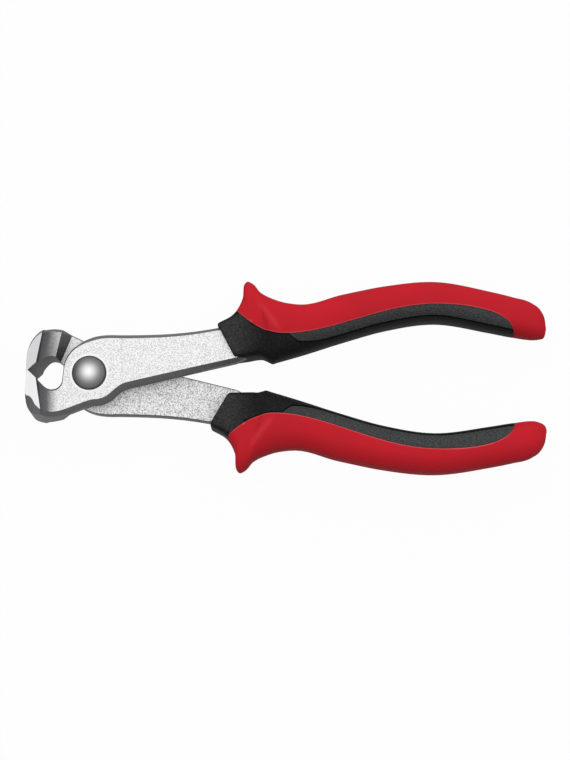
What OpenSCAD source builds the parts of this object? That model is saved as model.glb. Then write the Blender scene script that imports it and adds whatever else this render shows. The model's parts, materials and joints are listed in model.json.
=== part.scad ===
// End cutting nippers: two forged levers on a riveted lap joint, each with a moulded grip.
// Millimetres. The tool lies flat with its jaws shut, the pivot axis along Z, the jaws towards -X.
// Every shape is drawn about the pivot, for the lever with the lower jaw and the upper grip.
// Points are written as [along the tool, across the tool] from the pivot.

/* [Head] */
// Pivot to the back of the cutting edges
jaw_reach = 21; // [19.5:0.1:24]
// Width of the head along the cutting edges
head_w = 23.6; // [19:0.1:30]
// Midline to the crown of the lower jaw
lower_rise = 15.1; // [13:0.1:17]
// Midline to the crown of the upper jaw
upper_rise = 14.3; // [13:0.1:17]
// How far the belly swells out behind the crown of the lower jaw
lower_swell = 0.8; // [0:0.1:4]
// How far the belly swells out behind the crown of the upper jaw
upper_swell = 3.3; // [0:0.1:4]
// Lower jaw: height up to which its back stays straight, and length over which it rounds into the crown
lower_back = [12, 6.8]; // [3:0.1:13]
// Upper jaw: height up to which its back stays straight, and length over which it rounds into the crown
upper_back = [7.5, 4.8]; // [3:0.1:12]
// How far the back of a jaw bows out past its cutting edge
jaw_bow = 0.5; // [0.2:0.1:2]
// Flat left along each cutting edge by grinding
edge_land = 0.5; // [0.2:0.05:0.8]
// Gap between the cutting edges when shut
edge_gap = 0.08; // [0.04:0.01:0.3]
// Radius of the throat behind the cutting edges
throat_r = 3.7; // [3:0.1:4]
// Centre of one jaw's half of the throat
throat_at = [-13, -2.05]; // [-14:0.05:-1.5]
// Length over which the head flares out from the levers
flare_len = 6.1; // [4:0.1:6.6]
// How far the start of the flare leans back from the throat to the crown
flare_lean = 2.1; // [1:0.1:3]
// Gap between the shoulder of one jaw and the boss of the other lever
shoulder_gap = 2.1; // [1.6:0.1:2.6]
// Length of the sloping shoulder, along the throat
shoulder_run = 1.4; // [0.8:0.1:2]
// Width of the bevel across the back corner of a jaw, on the outer side of its lever
corner_bevel = 4.4; // [2:0.1:5]
// Width of the bevel round the back of a jaw, on the lapped side of its lever
lap_bevel = 1.2; // [0.2:0.1:1.6]

/* [Levers] */
// Thickness of one lever, half of the lap joint
lever_t = 6.5; // [4.5:0.1:7.5]
// Gap between the lapped faces
lap_gap = 0.06; // [0.02:0.01:0.2]
// Radius of the boss round the pivot
boss_r = 10.3; // [9.4:0.1:10.5]
// Centre of the boss
boss_at = [1.3, 1]; // [0:0.1:2]
// Lowest point of the waist under the pivot
waist_at = [1.5, -10.6]; // [-12:0.1:3]
// Neck, where the waist turns into the shank
neck_at = [13.5, -4.5]; // [-6:0.1:15]
// Outer edge of the shank beside the boss
shank_at = [10, 13.6]; // [8:0.1:16]
// Width of the forged bevel along the waist and the inner edge
bevel_w = 1.5; // [0.6:0.1:1.9]
// Height of that bevel
bevel_h = 2.2; // [1:0.1:3]
// Width of the bevel along the shank's outer edge
rim_bevel = 1.5; // [0.6:0.1:1.9]
// Width of the bevel round the boss and the throat
boss_bevel = 0.7; // [0.2:0.1:0.9]
// Width of the bevel along the edges of the lapped face
lap_edge = 0.4; // [0.2:0.1:0.8]
// Width of the bevels on the tang
tang_bevel = 0.8; // [0.4:0.1:1]
// Half of the width of the tang inside the grip
tang_half_w = 3.8; // [2.5:0.1:4.2]
// Thickness of the tang
tang_t = 6.5; // [4:0.1:7]
// Pivot to the end of the tang
tang_end = 126; // [95:1:132]

/* [Rivet] */
// Diameter of the rivet's shank
rivet_d = 7; // [5:0.1:9]
// Diameter of the domed rivet heads
rivet_head_d = 11.9; // [9.6:0.1:14]
// Height of the rivet heads
rivet_head_h = 3; // [2:0.1:4]
// Running clearance round the shank
rivet_clear = 0.03; // [0.02:0.005:0.08]
// Gap under each rivet head
rivet_head_gap = 0.02; // [0.01:0.01:0.1]

/* [Grip outline] */
// Front of the collar on the palm side
collar_top = [42.5, 18.2]; // [15:0.1:46]
// Front of the collar on the finger side
collar_foot = [49, 5.9]; // [5:0.1:52]
// Root of the finger guard, behind the collar
guard_root = [47.7, 21.6]; // [19:0.1:50]
// Front face of the guard, half way up
guard_front = [50.8, 27]; // [24:0.1:53]
// Tip of the guard
guard_tip = [53.2, 33.5]; // [30:0.1:56]
// Back face of the guard, half way down
guard_back = [57.3, 29.5]; // [26:0.1:60]
// Finger side under the guard
finger_notch = [57.4, 6.05]; // [5:0.1:59]
// Corner on the finger side, behind the collar
finger_corner = [61.6, 4.8]; // [4:0.1:64]
// Lowest point of the palm side, behind the guard
palm_dip = [69.9, 25.3]; // [22:0.1:74]
// Highest point of the palm side
palm_crown = [118.4, 33.4]; // [30:0.1:124]
// Highest point of the finger side
finger_arch = [118.4, 19.4]; // [17:0.1:124]
// Pivot to the end of the grip
grip_end = 158.1; // [152:0.1:166]
// Midline to the middle of the rounded end
end_rise = 17.8; // [17:0.1:19]
// Length of the rounded end
end_round = 5.6; // [4:0.1:7]
// Middle of the rounded end up to its palm side
end_up = 8.8; // [7.8:0.1:10]
// Middle of the rounded end down to its finger side
end_down = 3.6; // [3:0.1:4.4]
// How far the front of the lower grip sits forward, and that of the upper grip back
grip_lead = 1; // [0:0.1:1.6]

/* [Grip colours] */
// Where the split between the colours leaves the palm side
split_start = [48.4, 21.9]; // [20:0.1:50]
// Lowest point of the split, under the guard
split_low = [65.5, 13.7]; // [12:0.1:68]
// Highest point of the split
split_crest = [119.5, 25]; // [23:0.1:124]
// Where the split meets the finger side
split_end = [145.9, 14.6]; // [13:0.1:150]

/* [Grip sections] */
// Wall of the collar over the face of the shank
collar_wall = 1.4; // [1:0.1:2]
// Step from the outer edge of the shank up to the collar
collar_step = 1.5; // [1:0.1:2]
// Thickness of the grip where the palm holds it
grip_t = 21; // [18:0.1:24]
// Thickness of the grip near its end
tail_t = 16.4; // [13:0.1:19]
// Thickness of the black skin over the red core
skin_t = 2.4; // [1.6:0.1:2.8]
// Depth of the textured pads let into the skin
pad_t = 1; // [0.5:0.1:1.2]
// Height of the plain border between a pad and the finger edge
pad_border = 1.7; // [1:0.1:2.2]
// Clearance round the tang in its socket
tang_clear = 0.1; // [0.05:0.01:0.3]

/* [Hidden] */
$fn = 64;
half_w = head_w / 2;
lap_z = lap_gap / 2;
rivet_r = rivet_d / 2;
head_r = rivet_head_d / 2;
dome_r = (head_r * head_r + rivet_head_h * rivet_head_h) / (2 * rivet_head_h);

// Curves
function steps(n) = [for (i = [0:n]) i / n];
function inner_steps(n) = [for (i = [1:n]) i / n];
function lerp(a, b, t) = a + (b - a) * t;
function ease(t) = t * t * (3 - 2 * t);
function clamp01(t) = min(1, max(0, t));
function ramp(a, b, t) = ease(clamp01((t - a) / (b - a)));
function on_circle(centre, r, a) = centre + r * [cos(a), sin(a)];
function angle_to(a, b) = atan2(b.y - a.y, b.x - a.x);
function bezier(p, t) =
    pow(1 - t, 3) * p[0] + 3 * pow(1 - t, 2) * t * p[1] + 3 * (1 - t) * t * t * p[2] + pow(t, 3) * p[3];

// A skin over a row of rings with the same number of points, closed by a fan at each end
module skin_over(rings) {
    n = len(rings[0]);
    last = len(rings) - 1;
    sides = [
        for (i = [0:last - 1]) for (j = [0:n - 1])
            let (a = i * n + j, b = i * n + (j + 1) % n)
                each [[a, b, b + n], [a, b + n, a + n]],
    ];
    front = [for (j = [1:n - 2]) [0, j + 1, j]];
    back = [for (j = [1:n - 2]) [last * n, last * n + j, last * n + j + 1]];
    polyhedron([for (ring = rings) each ring], concat(sides, front, back));
}

// Grip rows: palm edge, finger edge, half thickness and roundness
function grip_row(palm, finger, half_t, round_n) = [palm.x, palm.y, finger.x, finger.y, half_t, round_n];
function row_palm(r) = [r[0], r[1]];
function row_finger(r) = [r[2], r[3]];
function row_at(r, share) = lerp(row_finger(r), row_palm(r), share);
function row_width(r) = norm(row_palm(r) - row_finger(r));
function row_across(r) = (row_palm(r) - row_finger(r)) / row_width(r);
function between(a, b, t, lift) = lerp(a, b, t) + [0, lift];

collar_half = lever_t + collar_wall;
palm_half = grip_t / 2;
tail_half = tail_t / 2;
guard_half = (collar_half + palm_half) / 2;
boxy = 7;
soft = 2.6;
tail_x = grip_end - end_round;
tail_palm = [tail_x, end_rise + end_up];
tail_finger = [tail_x, end_rise - end_down];
end_land = 0.8;
end_half = 2;
end_draft = 0.6;
finger_slope = 0.305;
function behind_corner(d) = finger_corner + d * [1, finger_slope];
function end_row(a) =
    let (x = grip_end - end_round * (1 - sin(a)))
    grip_row([x, end_rise + lerp(end_land, end_up, cos(a))], [x, end_rise - lerp(end_land, end_down, cos(a))],
             lerp(end_half, tail_half - end_draft, cos(a)), soft);
grip_rows = [
    grip_row(collar_top, collar_foot, collar_half, boxy),
    grip_row(guard_root, lerp(collar_foot, finger_notch, 0.5), lerp(collar_half, guard_half, 0.3), 5.5),
    grip_row(guard_front, finger_notch, guard_half, 4),
    grip_row(lerp(guard_front, guard_tip, 0.8) - [0.9, 0], between(finger_notch, finger_corner, 0.5, 0.2),
             guard_half, 3),
    grip_row(guard_tip, lerp(finger_notch, finger_corner, 0.85), guard_half, soft),
    grip_row(between(guard_tip, guard_back, 0.36, 0.3), finger_corner, guard_half, soft),
    grip_row(guard_back, behind_corner(2), palm_half, soft),
    grip_row(between(guard_back, palm_dip, 0.45, -0.9), behind_corner(4.6), palm_half, soft),
    grip_row(palm_dip, behind_corner(9.4), palm_half, soft),
    grip_row(between(palm_dip, palm_crown, 0.34, 0.8), between(finger_corner, finger_arch, 0.45, 1.5),
             palm_half, soft),
    grip_row(between(palm_dip, palm_crown, 0.65, 1.3), between(finger_corner, finger_arch, 0.7, 1.9),
             palm_half, soft),
    grip_row(palm_crown, finger_arch, palm_half, soft),
    grip_row(between(palm_crown, tail_palm, 0.58, 0.9), between(finger_arch, tail_finger, 0.58, 0.2),
             lerp(palm_half, tail_half, 0.6), soft),
    grip_row(between(palm_crown, tail_palm, 0.85, 0.7), lerp(finger_arch, tail_finger, 0.82),
             lerp(palm_half, tail_half, 0.9), soft),
    for (a = [0, 32, 62, 90]) end_row(a),
];
pad_row = 8;
tail_row = 14;
row_steps = 2;

// The front of one grip is moved along the tool, less and less towards the crown of the palm
function led(x, lead) = x + lead * clamp01((palm_crown.x - x) / (palm_crown.x - palm_dip.x));
function led_row(r, lead) = [led(r[0], lead), r[1], led(r[2], lead), r[3], r[4], r[5]];

// Smooth sections between the rows, by cubic pieces that keep to their spacing
least_gap = 0.2;
function row_gap(rows, i) = max(least_gap, norm([for (k = [0:3]) rows[i + 1][k] - rows[i][k]]));
function row_slope(rows, i) =
    let (last = len(rows) - 1)
    i == 0 ? (rows[1] - rows[0]) / row_gap(rows, 0)
    : i == last ? (rows[last] - rows[last - 1]) / row_gap(rows, last - 1)
    : let (d0 = row_gap(rows, i - 1), d1 = row_gap(rows, i))
        ((rows[i + 1] - rows[i]) / d1 * d0 + (rows[i] - rows[i - 1]) / d0 * d1) / (d0 + d1);
function row_between(rows, i, t) =
    let (d = row_gap(rows, i), a = rows[i], b = rows[i + 1])
    bezier([a, a + row_slope(rows, i) * d / 3, b - row_slope(rows, i + 1) * d / 3, b], t);
function smooth_rows(rows) = [
    rows[0],
    for (i = [0:len(rows) - 2]) for (t = inner_steps(row_steps)) row_between(rows, i, t),
];
function grip_sections(lead) = smooth_rows([for (r = grip_rows) led_row(r, lead)]);
mean_sections = grip_sections(0);
middle_x = [for (r = mean_sections) row_at(r, 0.5).x];

// Split between the colours: three curves, each by its two ends and the two handles between them
split_front = [split_start, lerp(split_start, split_low, 0.26) + [0, -0.26 * (split_start.y - split_low.y)],
               [lerp(split_start.x, split_low.x, 0.59), split_low.y], split_low];
split_middle = [split_low, [lerp(split_low.x, split_crest.x, 0.315), split_low.y],
                [lerp(split_low.x, split_crest.x, 0.63), split_crest.y], split_crest];
split_back = [split_crest, [lerp(split_crest.x, split_end.x, 0.5), split_crest.y],
              [split_end.x, lerp(split_end.y, split_crest.y, 0.77)], split_end];
split = [
    for (t = steps(8)) bezier(split_front, t),
    for (t = inner_steps(11)) bezier(split_middle, t),
    for (t = inner_steps(9)) bezier(split_back, t),
];

// Rounded ring of one section, drawn in by the given depth
function signed_pow(v, p) = sign(v) * pow(abs(v), p);
function grip_ring(r, depth, points) =
    let (across = (row_width(r) / 2 - depth) * row_across(r), half_t = r[4] - depth, centre = row_at(r, 0.5))
    [for (j = [0:points - 1])
        let (a = -j * 360 / points, u = signed_pow(cos(a), 2 / r[5]), v = signed_pow(sin(a), 2 / r[5]))
            [centre.x + across.x * u, centre.y + across.y * u, half_t * v]];

module grip_blank(sections) {
    skin_over([for (r = sections) grip_ring(r, 0, 24)]);
}

module inner_blank(sections, depth) {
    skin_over([for (i = [core_first:row_steps:core_last]) grip_ring(sections[i], depth, 12)]);
}

// Lever: stations from the cutting edge to the end of the tang, each with a throat side and a crown side
tip_throat = [-jaw_reach + edge_land, -edge_gap / 2];
tip_crown = [-jaw_reach, -edge_gap / 2];
other_boss_at = [boss_at.x, -boss_at.y];
ground_a = angle_to(throat_at, tip_throat) + acos(throat_r / norm(tip_throat - throat_at));
boss_dist = norm(other_boss_at - throat_at);
shoulder_reach = boss_r + shoulder_gap;
shoulder_turn = acos((throat_r * throat_r + boss_dist * boss_dist - shoulder_reach * shoulder_reach)
                     / (2 * throat_r * boss_dist));
shoulder_foot_a = 360 + angle_to(throat_at, other_boss_at) - shoulder_turn;
shoulder_top_a = shoulder_foot_a - shoulder_run / throat_r * 180 / PI;
ground_end = on_circle(throat_at, throat_r, ground_a);
shoulder_top = on_circle(throat_at, throat_r, shoulder_top_a);
flare_share = (shoulder_top.x - flare_len - tip_throat.x) / (ground_end.x - tip_throat.x);
flare_throat = lerp(tip_throat, ground_end, flare_share);
shank_end_palm = collar_top + [3, -collar_step];
shank_end_finger = collar_foot + [6.5, -0.3];
boss_leave_a = 130;
boss_leave = on_circle(boss_at, boss_r, boss_leave_a);
tang_rows = [for (t = steps(8)) section_at(lerp(palm_dip.x, tang_end, t))];
tang_palm = tang_side(tang_rows[0], 1);
tang_finger = tang_side(tang_rows[0], -1);

// Curves of the lever's outline, each by its two ends and the two handles between them
lower_jaw = [lower_rise, lower_swell, lower_back[0], lower_back[1]];
upper_jaw = [upper_rise, upper_swell, upper_back[0], upper_back[1]];
function crown_at(jaw) = [flare_throat.x + flare_lean, -jaw[0]];
function belly_way(jaw) = [flare_len, -jaw[1]];
function jaw_back(jaw) = [
    tip_crown,
    [-jaw_reach - jaw_bow, -jaw[2]],
    crown_at(jaw) - belly_way(jaw) / norm(belly_way(jaw)) * jaw[3],
    crown_at(jaw),
];
function belly(jaw) = [crown_at(jaw), crown_at(jaw) + belly_way(jaw), waist_at - [6.5, 2], waist_at];
waist = [waist_at, waist_at + [7, 0], neck_at - [5.5, 1.5], neck_at];
boss_top = [boss_leave, boss_leave + boss_r / 2 * [sin(boss_leave_a), -cos(boss_leave_a)],
            shank_at + [-9, 0.4], shank_at];
shank_palm = [shank_at, shank_at + [14, 0.1], shank_end_palm - [13, 2.6], shank_end_palm];
tang_in_palm = [shank_end_palm, shank_end_palm + [8, 1.8], tang_palm - [7, 1.2], tang_palm];
tang_in_finger = [shank_end_finger, shank_end_finger + [5, 1.3], tang_finger - [6, 2.2], tang_finger];

// Middle of the grip at a given distance from the pivot, and the tang's sides there
function section_at(x) =
    let (k = max([for (i = [0:len(middle_x) - 2]) if (middle_x[i] <= x) i]))
    lerp(mean_sections[k], mean_sections[k + 1], (x - middle_x[k]) / (middle_x[k + 1] - middle_x[k]));
function tang_side(r, side) = row_at(r, 0.5) + side * tang_half_w * row_across(r);

// One station's ring: throat and crown sides, upper and lower face,
// and the bevels at its upper throat, upper crown, lower crown and lower throat corners
bevel_slope = bevel_h / bevel_w;
crisp = 0.06;
function station(t_side, c_side, top, base, bevels) =
    [t_side, c_side, (t_side - c_side) / norm(t_side - c_side), top, base, bevels];
function lift(p, z) = [p.x, p.y, z];
function station_ring(s, grow) =
    let (d = s[2], t_side = s[0] + d * grow, c_side = s[1] - d * grow, b = s[5],
         top = s[3] + grow, base = s[4] - grow)
    [
        lift(t_side, base + bevel_slope * b[3]),
        lift(t_side - d * b[3], base),
        lift(c_side + d * b[2], base),
        lift(c_side, base + bevel_slope * b[2]),
        lift(c_side, top - bevel_slope * b[1]),
        lift(c_side + d * b[1], top),
        lift(t_side - d * b[0], top),
        lift(t_side, top - bevel_slope * b[0]),
    ];
// Shares of the belly that belong to the flare, the shoulder and the throat, and where the boss begins
belly_flare = 0.36;
belly_foot = 0.53;
belly_throat = 0.68;
belly_boss = 0.72;
function flare_z(t) = half_w - (half_w - lever_t) * sqrt(1 - pow(1 - t, 2));
function flare_side(t) =
    let (x = lerp(flare_throat.x, shoulder_top.x, t))
    x < ground_end.x ? lerp(tip_throat, ground_end, (x - tip_throat.x) / (ground_end.x - tip_throat.x))
    : on_circle(throat_at, throat_r, 360 - acos((x - throat_at.x) / throat_r));
function blade(jaw) = [
    for (t = steps(9))
        let (grown = ramp(0.2, 0.7, t), gone = ramp(0.75, 1, t),
             outer_bevel = lerp(lerp(crisp, corner_bevel, grown), bevel_w, gone))
            station(lerp(tip_throat, flare_throat, t), bezier(jaw_back(jaw), t), half_w, -half_w,
                    [crisp, outer_bevel, lerp(crisp, lap_bevel, grown), crisp]),
];
function flare(jaw) = [
    for (t = inner_steps(9))
        let (f = t * t, z = flare_z(f))
            station(flare_side(f), bezier(belly(jaw), belly_flare * f), z, -z,
                    [lerp(crisp, boss_bevel, t), bevel_w, lap_bevel, crisp]),
];
function shoulder(jaw) = [
    for (t = inner_steps(4))
        station(on_circle(throat_at, throat_r, lerp(shoulder_top_a, shoulder_foot_a, t)),
                bezier(belly(jaw), lerp(belly_flare, belly_foot, t)),
                lever_t, lerp(-lever_t, lap_z, t),
                [boss_bevel, bevel_w, lerp(lap_bevel, lap_edge, t), crisp]),
];
function throat_end(jaw) = [
    for (t = inner_steps(4))
        station(on_circle(throat_at, throat_r, lerp(shoulder_foot_a, 360, t)),
                bezier(belly(jaw), lerp(belly_foot, belly_throat, t)), lever_t, lap_z,
                [boss_bevel, bevel_w, lap_edge, crisp]),
];
function boss(jaw) = [
    for (t = steps(8))
        station(on_circle(boss_at, boss_r, lerp(180, boss_leave_a, t)),
                bezier(belly(jaw), lerp(belly_boss, 1, t)), lever_t, lap_z,
                [boss_bevel, bevel_w, lap_edge, crisp]),
];
neck = [
    for (t = inner_steps(10))
        station(bezier(boss_top, t), bezier(waist, t), lever_t, lap_z,
                [lerp(boss_bevel, rim_bevel, ramp(0, 0.5, t)), bevel_w, lap_edge, lerp(crisp, lap_edge, t)]),
];
shank = [
    for (t = inner_steps(8))
        station(bezier(shank_palm, t), lerp(neck_at, shank_end_finger, t), lever_t, lap_z,
                [rim_bevel, bevel_w, lap_edge, lap_edge]),
];
tang_in = [
    for (t = inner_steps(6))
        let (sunk = ramp(0.1, 1, t))
            station(bezier(tang_in_palm, t), bezier(tang_in_finger, t),
                    lerp(lever_t, tang_t / 2, sunk), lerp(lap_z, -tang_t / 2, sunk),
                    [lerp(rim_bevel, tang_bevel, t), lerp(bevel_w, tang_bevel, t),
                     lerp(lap_edge, tang_bevel, t), lerp(lap_edge, tang_bevel, t)]),
];
tang = [
    for (i = [1:len(tang_rows) - 1])
        station(tang_side(tang_rows[i], 1), tang_side(tang_rows[i], -1), tang_t / 2, -tang_t / 2,
                [tang_bevel, tang_bevel, tang_bevel, tang_bevel]),
];
function stations(jaw) =
    concat(blade(jaw), flare(jaw), shoulder(jaw), throat_end(jaw), boss(jaw), neck, shank, tang_in, tang);

module lever_blank(jaw, grow = 0) {
    skin_over([for (s = stations(jaw)) station_ring(s, grow)]);
}

module lever(jaw) {
    difference() {
        lever_blank(jaw);
        translate([0, 0, -lever_t]) cylinder(r = rivet_r + rivet_clear, h = 3 * lever_t);
    }
}

// Place on the bench: the middle of the tool's length over the origin, the side of the head on the floor
jaw_back_x = min([for (s = concat(blade(lower_jaw), blade(upper_jaw))) s[1].x]);
grip_end_x = max([for (r = mean_sections) max(r[0], r[2])]);

module on_bench() {
    translate([-(jaw_back_x + grip_end_x) / 2, 0, half_w]) children();
}

// The second lever is the first one turned over about the length of the tool, and so is its grip.
// Only its jaw is ground rounder.
module upper() {
    on_bench() children();
}

module lower() {
    on_bench() rotate([180, 0, 0]) children();
}

module front_lever() {
    color("silver") upper() lever(lower_jaw);
}

module back_lever() {
    color("silver") lower() lever(upper_jaw);
}

// Rivet: a plain shank between two spherical caps, turned as one profile
module pivot_rivet() {
    seat = lever_t + rivet_head_gap;
    color("gainsboro") on_bench() rotate_extrude() {
        translate([0, -seat]) square([rivet_r, 2 * seat]);
        for (side = [0, 1]) mirror([0, side]) translate([0, seat]) intersection() {
            translate([0, rivet_head_h - dome_r]) circle(r = dome_r);
            square([head_r, rivet_head_h]);
        }
    }
}

// Grip: a red core with a black skin on its finger side, and a textured pad let into each flank of the skin
core_first = row_steps + 1;
core_last = tail_row * row_steps;
pad_first = pad_row * row_steps;
pad_last = core_last - row_steps - 1;
pad_lap = 0.2;
below = -2 * palm_half;

module through_grip(outline) {
    translate([0, 0, -2 * palm_half]) linear_extrude(4 * palm_half) polygon(outline);
}

// The split of one grip, from a little outside the palm side
function led_split(lead) = [for (p = split) [led(p.x, lead), p.y]];

// Everything on the finger side of the split between the two colours
module black_side(lead) {
    edge = led_split(lead);
    start = edge[0] + [-1, 1];
    front = start.x - palm_half;
    through_grip(concat([[front, start.y], start], edge, [[split_end.x, below], [front, below]]));
}

// Half way between two sections, so that no cut runs through the corners of the skin
function mid_row(sections, i) = lerp(sections[i], sections[i + 1], 0.5);

// Block that reaches from the floor of one pad's recess out past the flank
module pad_block(lead, side) {
    sections = grip_sections(lead);
    border = [
        for (i = [pad_last:-1:pad_first])
            let (r = mid_row(sections, i))
                row_at(r, pad_border / row_width(r)),
    ];
    first_x = led(split_low.x, lead);
    top = [for (p = led_split(lead)) if (p.x > first_x && p.x < border[0].x) p + [0, pad_lap]];
    difference() {
        intersection() {
            through_grip(concat(top, border));
            translate([0, -grip_end, min(0, side * 2 * palm_half)])
                cube([grip_end, 2 * grip_end, 2 * palm_half]);
        }
        inner_blank(sections, pad_t);
    }
}

// Each moulding is one closed skin
module moulding() {
    resize([0, 0, 0]) children();
}

// The socket that the tang fills
module tang_socket() {
    lever_blank(lower_jaw, tang_clear);
}

module grip_core(lead) {
    color("firebrick") moulding() difference() {
        union() {
            difference() {
                grip_blank(grip_sections(lead));
                black_side(lead);
            }
            inner_blank(grip_sections(lead), skin_t);
        }
        tang_socket();
    }
}

module grip_skin(lead) {
    color("#232425") moulding() difference() {
        intersection() {
            grip_blank(grip_sections(lead));
            black_side(lead);
        }
        inner_blank(grip_sections(lead), skin_t);
        tang_socket();
        pad_block(lead, 1);
        pad_block(lead, -1);
    }
}

module grip_pad(lead, side) {
    color("#3e4244") moulding() intersection() {
        grip_blank(grip_sections(lead));
        black_side(lead);
        pad_block(lead, side);
    }
}

front_lever();
back_lever();
pivot_rivet();
upper() grip_core(grip_lead);  // upper_grip_core
upper() grip_skin(grip_lead);  // upper_grip_skin
upper() grip_pad(grip_lead, 1);  // upper_grip_pad_front
upper() grip_pad(grip_lead, -1);  // upper_grip_pad_back
lower() grip_core(-grip_lead);  // lower_grip_core
lower() grip_skin(-grip_lead);  // lower_grip_skin
lower() grip_pad(-grip_lead, -1);  // lower_grip_pad_front
lower() grip_pad(-grip_lead, 1);  // lower_grip_pad_back
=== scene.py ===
import json
import math

import bmesh
import bpy
from mathutils import Matrix, Vector


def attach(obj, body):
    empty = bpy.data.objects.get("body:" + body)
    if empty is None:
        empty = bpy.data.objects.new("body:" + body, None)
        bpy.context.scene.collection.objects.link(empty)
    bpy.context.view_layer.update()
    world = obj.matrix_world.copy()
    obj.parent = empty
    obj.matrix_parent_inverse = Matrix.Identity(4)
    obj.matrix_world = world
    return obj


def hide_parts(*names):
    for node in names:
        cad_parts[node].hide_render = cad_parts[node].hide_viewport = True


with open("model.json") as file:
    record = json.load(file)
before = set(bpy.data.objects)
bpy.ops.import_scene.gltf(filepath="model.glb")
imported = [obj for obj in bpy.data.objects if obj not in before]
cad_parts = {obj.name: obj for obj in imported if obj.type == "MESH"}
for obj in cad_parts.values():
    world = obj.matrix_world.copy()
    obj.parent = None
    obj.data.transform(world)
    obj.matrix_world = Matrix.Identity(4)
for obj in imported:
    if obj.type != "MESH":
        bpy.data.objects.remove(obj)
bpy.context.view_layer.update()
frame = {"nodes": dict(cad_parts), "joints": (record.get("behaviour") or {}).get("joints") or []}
nodes = frame["nodes"]
pivot = Vector(frame["joints"][0]["pos_m"])  # on the rivet's axis, in the lap plane
scene = bpy.context.scene
mm = 0.001
mergeWithin = 0.002 * mm
white = (1, 1, 1, 1)


# Camera, set from where the pivot falls in the picture
cameraSet = {
    "picture": (570, 760),  # pixels
    "pivotAt": (90.54, 376.0),  # pixel of the pivot in the lap plane
    "mmPerPixel": 0.3451,
    "distance": 900,  # mm from the lap plane
    "tilt": 9.8,  # degrees off the rivet's axis, towards the lower grip
    "turn": 0.92,  # degrees off that axis, towards the grips
    "roll": 0.42,  # degrees
    "sensor": 36,  # mm along the picture's long side
    "clip": (0.01, 200),  # m
}


def makeCamera():
    s = cameraSet
    wide, high = s["picture"]
    tilt, turn, roll = (math.radians(s[key]) for key in ("tilt", "turn", "roll"))
    along = Vector((math.cos(roll), math.sin(roll), 0))
    upward = Vector((-math.sin(roll), math.cos(roll), 0))
    back = Vector((0, 0, math.cos(tilt))) - upward * math.sin(tilt)
    back = back * math.cos(turn) + along * math.sin(turn)
    right = (along - back * along.dot(back)).normalized()
    overX = (wide / 2 - s["pivotAt"][0]) * s["mmPerPixel"] * mm
    overY = (s["pivotAt"][1] - high / 2) * s["mmPerPixel"] * mm
    target = pivot + along * overX + upward * overY
    data = bpy.data.cameras.new("camera")
    data.sensor_width = s["sensor"]
    data.lens = s["sensor"] * s["distance"] / (high * s["mmPerPixel"])
    data.clip_start, data.clip_end = s["clip"]
    camera = bpy.data.objects.new("camera", data)
    axes = Matrix((right, back.cross(right), back)).transposed()
    camera.matrix_world = Matrix.Translation(target + back * s["distance"] * mm) @ axes.to_4x4()
    scene.collection.objects.link(camera)
    scene.camera = camera


# Nodes: a value is a plain number or colour, or the socket that it comes from
def addNode(tree, kind, values=None, **props):
    made = tree.nodes.new(kind)
    for key, value in props.items():
        setattr(made, key, value)
    for key, value in (values or {}).items():
        if isinstance(value, bpy.types.NodeSocket):
            tree.links.new(value, made.inputs[key])
        else:
            made.inputs[key].default_value = value
    return made


def calc(tree, operation, *values):
    return addNode(tree, "ShaderNodeMath", dict(enumerate(values)), operation=operation).outputs[0]


def ranged(tree, value, source, result=(0.0, 1.0), interpolation="LINEAR"):
    made = addNode(tree, "ShaderNodeMapRange", {
        "Value": value, "From Min": source[0], "From Max": source[1],
        "To Min": result[0], "To Max": result[1]}, interpolation_type=interpolation)
    return made.outputs[0]


def mixValue(tree, factor, a, b):
    return addNode(tree, "ShaderNodeMix", {"Factor": factor, "A": a, "B": b}, data_type="FLOAT").outputs[0]


def mixColour(tree, factor, a, b):
    return addNode(tree, "ShaderNodeMix", {0: factor, 6: a, 7: b}, data_type="RGBA").outputs[2]


def newMaterial(name):
    material = bpy.data.materials.new(name)
    material.use_nodes = True
    return material, material.node_tree, material.node_tree.nodes["Principled BSDF"]


def meshObject(bm, name, material):
    mesh = bpy.data.meshes.new(name)
    bm.to_mesh(mesh)
    bm.free()
    mesh.materials.append(material)
    made = bpy.data.objects.new(name, mesh)
    scene.collection.objects.link(made)
    return made


# Studio: a soft dome that is brighter overhead, and a wide pale floor
studioSet = {
    "zenith": 1.53,
    "horizon": 0.15,
    "lean": 24,  # degrees, the bright side leans over the upper grip
    "floorHalf": 30,  # m
    "floorColour": (0.65, 0.65, 0.65, 1),
    "backdropShare": 0.97,  # of the floor that shows as plain white, the rest takes the shadow
}


# Rays that see plain white in place of the dome and the floor
def seenRays(tree):
    rays = addNode(tree, "ShaderNodeLightPath").outputs
    shine = calc(tree, "MAXIMUM", rays["Is Camera Ray"], rays["Is Glossy Ray"])
    return calc(tree, "MAXIMUM", shine, rays["Is Transmission Ray"])


def makeDome():
    s = studioSet
    world = bpy.data.worlds.new("studio")
    scene.world = world
    world.use_nodes = True
    tree = world.node_tree
    tree.nodes.clear()
    place = addNode(tree, "ShaderNodeTexCoord")
    lean = math.radians(s["lean"])
    raised = addNode(tree, "ShaderNodeVectorMath", {
        0: place.outputs["Generated"], 1: (0, math.sin(lean), math.cos(lean))}, operation="DOT_PRODUCT")
    glow = ranged(tree, raised.outputs["Value"], (0.0, 1.0), (s["horizon"], s["zenith"]))
    sky = addNode(tree, "ShaderNodeBackground", {
        "Color": white, "Strength": mixValue(tree, seenRays(tree), glow, 1.0)})
    out = addNode(tree, "ShaderNodeOutputWorld")
    tree.links.new(sky.outputs[0], out.inputs["Surface"])


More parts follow.
